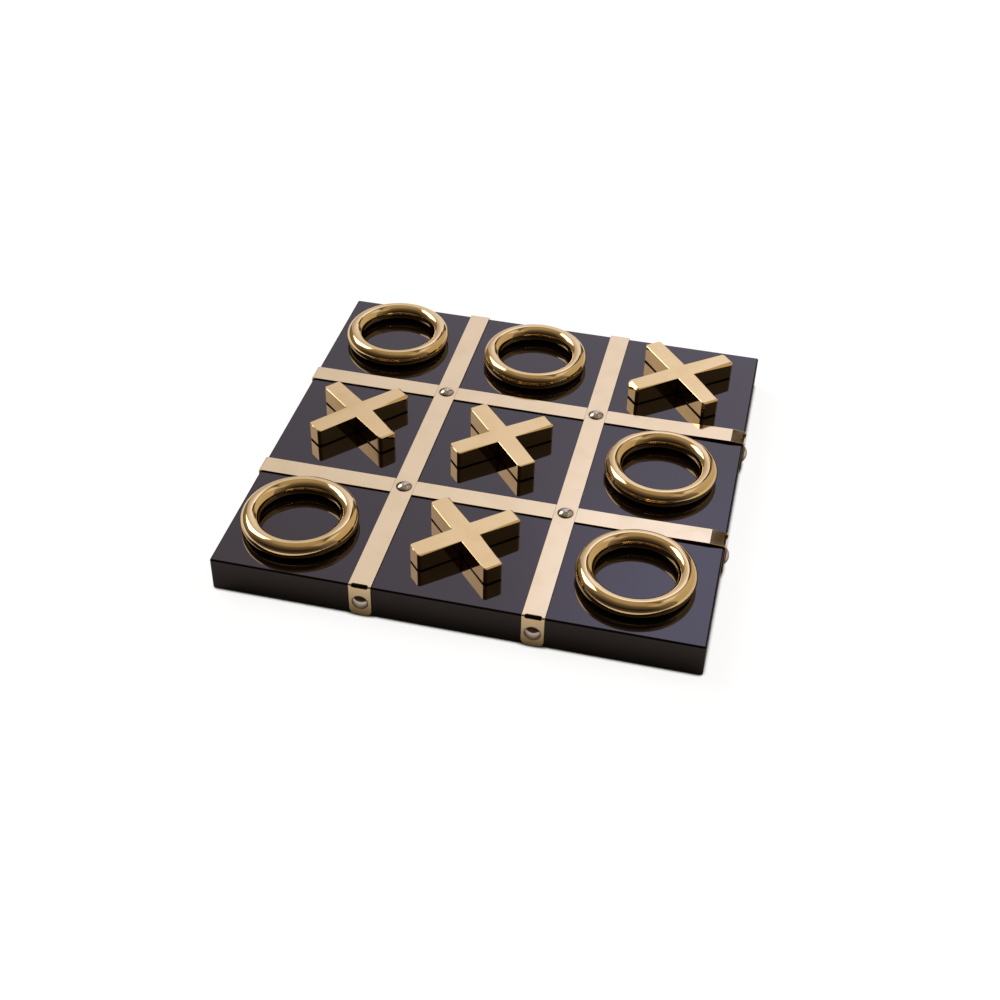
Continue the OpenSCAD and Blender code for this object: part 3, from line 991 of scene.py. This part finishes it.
def rivet_profile():
    """Outline of a rivet from its tip to the top of its dome, as (radius, height) pairs."""
    dome = head_high - head_rim
    sphere = (head_round ** 2 + dome ** 2) / (2 * dome)
    widest = math.asin(head_round / sphere)
    rise = [widest * (1 - i / cap_rings) for i in range(cap_rings)]
    foot = [(shank_round * 0.2, -shank_deep), (shank_round, -shank_deep), (shank_round, 0)]
    rim = [(head_round - 0.1 * MM, 0), (head_round, 0.08 * MM)]
    cap = [(sphere * math.sin(a), head_high - sphere * (1 - math.cos(a))) for a in rise]
    return foot + rim + cap + [(0.05 * MM, head_high)]


def set_rivet(name, place, out, node):
    """One rivet whose head stands on `place` and points `out`."""
    angles = [math.radians(360 * i / rivet_sides) for i in range(rivet_sides)]
    outlines = []
    for radius, height in rivet_profile():
        outlines.append([(radius * math.cos(a), radius * math.sin(a), height) for a in angles])
    bm = bmesh.new()
    stack(bm, outlines)
    turn = out.to_track_quat("Z", "Y").to_matrix().to_4x4()
    for vertex in bm.verts:
        if vertex.co.z > head_rim:
            push = noise.noise(vertex.co * dents_per_metre + place * dent_shift)
            vertex.co.z -= dent * (1 + push) * (1 - vertex.co.xy.length / head_round)
    bm.transform(Matrix.Translation(place) @ turn)
    finish_piece(name, bm, nickel, "rivet_nickel", "board", node)


for i, x in enumerate(column_lines):
    for j, y in enumerate(row_lines):
        set_rivet(f"crossing_rivet_{i}_{j}", Vector((x, y, strap_top)), Vector((0, 0, 1)), "crossing_rivets")
side_height = middle_of("front_rivets").z
for i, x in enumerate(column_lines):
    for name, side in (("front", -1), ("back", 1)):
        place = Vector((x, side * (half_y + strap_t), side_height))
        set_rivet(f"{name}_rivet_{i}", place, Vector((0, side, 0)), f"{name}_rivets")
for j, y in enumerate(row_lines):
    for name, side in (("left", -1), ("right", 1)):
        place = Vector((side * (half_x + strap_t), y, side_height))
        set_rivet(f"{name}_rivet_{j}", place, Vector((side, 0, 0)), f"{name}_rivets")
print("side rivets at", round(side_height, 5), "m")

# %% [markdown]
# ## The rings
#
# A ring is a bar of round brass bent to a circle and soldered, then filed and buffed. It rests
# on a narrow flat that rubbing has worn under it. A torus primitive would be too perfect, so the
# ring is drawn as a closed row of sections, and a slow noise moves the surface by a few
# hundredths of a millimetre. That is too little to see in the outline, and enough to make the
# long highlight on the bar wander as it does on the real one.

# %% Lay the rings
bar_round = 5.9 * MM
waver = 0.04 * MM
wavers_per_metre = 70
ring_sections = 180
bar_sides = 72


def lay_ring(node):
    """One ring, in the place and the size of its node."""
    low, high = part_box(node)
    centre = (low + high) / 2
    mean = (high.x - low.x) / 2 - bar_round
    level = high.z - bar_round
    sections = []
    for i in range(ring_sections):
        around = math.radians(360 * i / ring_sections)
        outward = Vector((math.cos(around), math.sin(around), 0))
        spine = Vector((centre.x, centre.y, level)) + outward * mean
        row = []
        for j in range(bar_sides):
            angle = math.radians(360 * j / bar_sides)
            direction = outward * math.cos(angle) + Vector((0, 0, math.sin(angle)))
            swell = noise.noise((spine + direction * bar_round) * wavers_per_metre)
            point = spine + direction * (bar_round - waver + waver * swell)
            point.z = max(point.z, low.z)
            row.append(point)
        sections.append(row)
    bm = bmesh.new()
    stack(bm, sections, closed=True)
    finish_piece(node.replace("ring", "brass_ring"), bm, piece_brass, "piece_brass", node, node)


rings = [n for n in sorted(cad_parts) if n.startswith("ring_")]
for node in rings:
    lay_ring(node)
print("rings:", len(rings))

# %% [markdown]
# ## The crosses
#
# A cross is cast and then filed by hand. Its outline has eight rounded corners at the tips and
# four sharp inner corners. The same stack of outlines as for the panel makes the body: the top
# edges are just broken, and the bottom edges are rolled further, which leaves a dark gap
# between a cross and its mirror image in the lacquer.
#
# A file takes off more near a tip than in the corner between two arms, and more on one side
# than on the other. So each point of the outline carries its own edge size, which grows from
# the inner corner to the tip, and each arm has three sizes in millimetres: for the edge before
# its tip, going round anticlockwise, for the tip itself and for the edge after it. An edge
# can't be wider than the corner it goes round, or the outline would cross itself there.

# %% Draw the outline of a cross
cross_wide = 12.7 * MM
inner_corner = 0.25 * MM
inner_ease = 0.16 * MM
inner_foot = 0.6 * MM
tip_foot = 1.5 * MM
arm_steps = 12
corner_steps = 6


def arm_outline(reach, tip_corner, side_before, end, side_after):
    """One arm along X with the inner corner after it: place, way inward, share of the arm, edge."""
    half_w = cross_wide / 2
    notch = half_w + inner_corner
    straight = reach - tip_corner
    arm = []
    for i in range(arm_steps):
        share = i / arm_steps
        arm.append((notch + (straight - notch) * share, -half_w, 0, 1, share, side_before))
    for corner_y, start, first, last in ((-1, -90, side_before, end), (1, 0, end, side_after)):
        for i in range(corner_steps + 1):
            angle = math.radians(start + 90 * i / corner_steps)
            x = straight + tip_corner * math.cos(angle)
            y = corner_y * (half_w - tip_corner) + tip_corner * math.sin(angle)
            ease = first + (last - first) * i / corner_steps
            arm.append((x, y, -math.cos(angle), -math.sin(angle), 1, ease))
    for i in range(arm_steps):
        share = 1 - (i + 1) / arm_steps
        arm.append((notch + (straight - notch) * share, half_w, 0, -1, share, side_after))
    for degrees in (240, 210, 180):
        angle = math.radians(degrees)
        x, y = notch + inner_corner * math.cos(angle), notch + inner_corner * math.sin(angle)
        arm.append((x, y, math.cos(angle), math.sin(angle), 0, 0))
    return arm


def cross_outline(reach, tip_corner, tips):
    """Points round a cross: each with its place, the way inward, and its top and its foot edge size."""
    points = []
    for (cosine, sine), tip in zip(((1, 0), (0, 1), (-1, 0), (0, -1)), tips):
        for x, y, in_x, in_y, share, tip_ease in arm_outline(reach, tip_corner, *tip):
            place = Vector((x * cosine - y * sine, x * sine + y * cosine))
            inward = Vector((in_x * cosine - in_y * sine, in_x * sine + in_y * cosine))
            top = inner_ease + (tip_ease - inner_ease) * share
            points.append((place, inward, top, inner_foot + (tip_foot - inner_foot) * share))
    return points


print("bars are", round(cross_wide / MM, 1), "mm wide")

# %% [markdown]
# A file leaves a flat bevel and not a rolled edge, and the bevel mirrors one patch of the studio
# at a time. Only its two ends are a little soft. A wide bevel comes from more strokes with the
# file held steeper, so its drop is nearer to its inset.
#
# Each point of the outline becomes a column of points, from the rolled foot to the end of the
# bevel. Read level by level, the columns are the outlines that `stack` joins.

# %% Cut the crosses
bevel_steps = 8
narrow_bevel = 0.7 * MM
wide_bevel = 1.5 * MM


def edge_profile(size):
    """Pairs of inset and drop over a filed edge, from the side of the bar to its top."""
    wide = min(max((size - narrow_bevel) / (wide_bevel - narrow_bevel), 0), 1)
    pairs = []
    for i in range(bevel_steps + 1):
        share = min(max(0.5 + (i / bevel_steps - 0.5) * 1.15, 0), 1)
        pairs.append((size * share, size * (1 - share) * (0.7 + 0.12 * wide)))
    return pairs


def lay_cross(node, turn, span, tip_corner, tips):
    """One cross in the place of its node, turned by degrees, as long as its span from tip to tip."""
    low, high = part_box(node)
    centre = (low + high) / 2
    tips = [[size * MM for size in tip] for tip in tips]
    columns = []
    for place, inward, top, foot in cross_outline(span / 2, tip_corner, tips):
        column = rounded_foot(low.z, foot, 6)
        column += [(inset, high.z - drop) for inset, drop in edge_profile(top)]
        columns.append([(*(place + inward * inset), z) for inset, z in column])
    bm = bmesh.new()
    stack(bm, list(zip(*columns)))
    rotation = Matrix.Rotation(math.radians(turn), 4, "Z")
    bm.transform(Matrix.Translation((centre.x, centre.y, 0)) @ rotation)
    finish_piece(node.replace("cross", "brass_cross"), bm, piece_brass, "piece_brass", node, node)


lay_cross("cross_back_right", 39.1, 79.4 * MM, 2.1 * MM,
          [(2.1, 1.3, 0.8), (0.7, 0.8, 0.3), (0.7, 1.8, 0.8), (0.18, 1.2, 1.3)])
lay_cross("cross_middle_left", 49.3, 71.6 * MM, 2.1 * MM,
          [(2.1, 1.2, 0.7), (0.7, 0.8, 0.26), (0.7, 0.22, 0.8), (0.18, 1.0, 2.1)])
lay_cross("cross_centre", 40.4, 71.6 * MM, 1.9 * MM,
          [(1.4, 1.1, 0.8), (0.7, 0.8, 0.24), (0.7, 0.22, 0.8), (0.16, 0.6, 0.9)])
lay_cross("cross_front_middle", 42.4, 71.6 * MM, 2.1 * MM,
          [(1.3, 1.2, 0.8), (0.7, 0.9, 0.22), (0.7, 0.26, 0.9), (0.18, 0.9, 1.0)])
